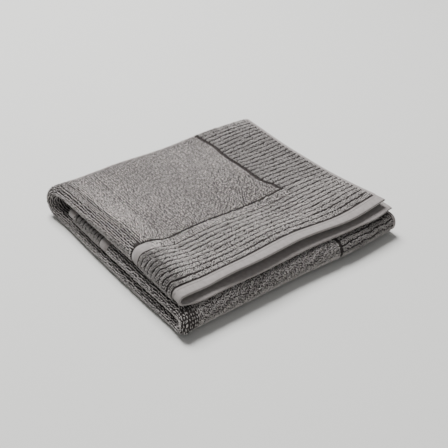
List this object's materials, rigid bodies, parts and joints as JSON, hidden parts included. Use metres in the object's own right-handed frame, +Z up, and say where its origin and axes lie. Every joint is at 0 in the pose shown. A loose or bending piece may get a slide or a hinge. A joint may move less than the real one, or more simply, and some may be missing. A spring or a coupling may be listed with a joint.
{
  "type": "folded foot towel",
  "caption": "Thick cotton terry foot towel with a ribbed border, folded in half and then in three, lying flat.",
  "frame": {"origin": "under the middle of the folded towel, on the surface it lies on", "axes": "+Z up, +X from the long fold to the two selvedges, +Y from the hems at the front to the broad fold at the back"},
  "size_m": [0.2504, 0.2398, 0.0446],
  "materials": {
    "terry_cotton": "matte grey cotton loops, smooth woven hems"
  },
  "bodies": {
    "root": {"towel": "terry_cotton"}
  },
  "joints": []
}
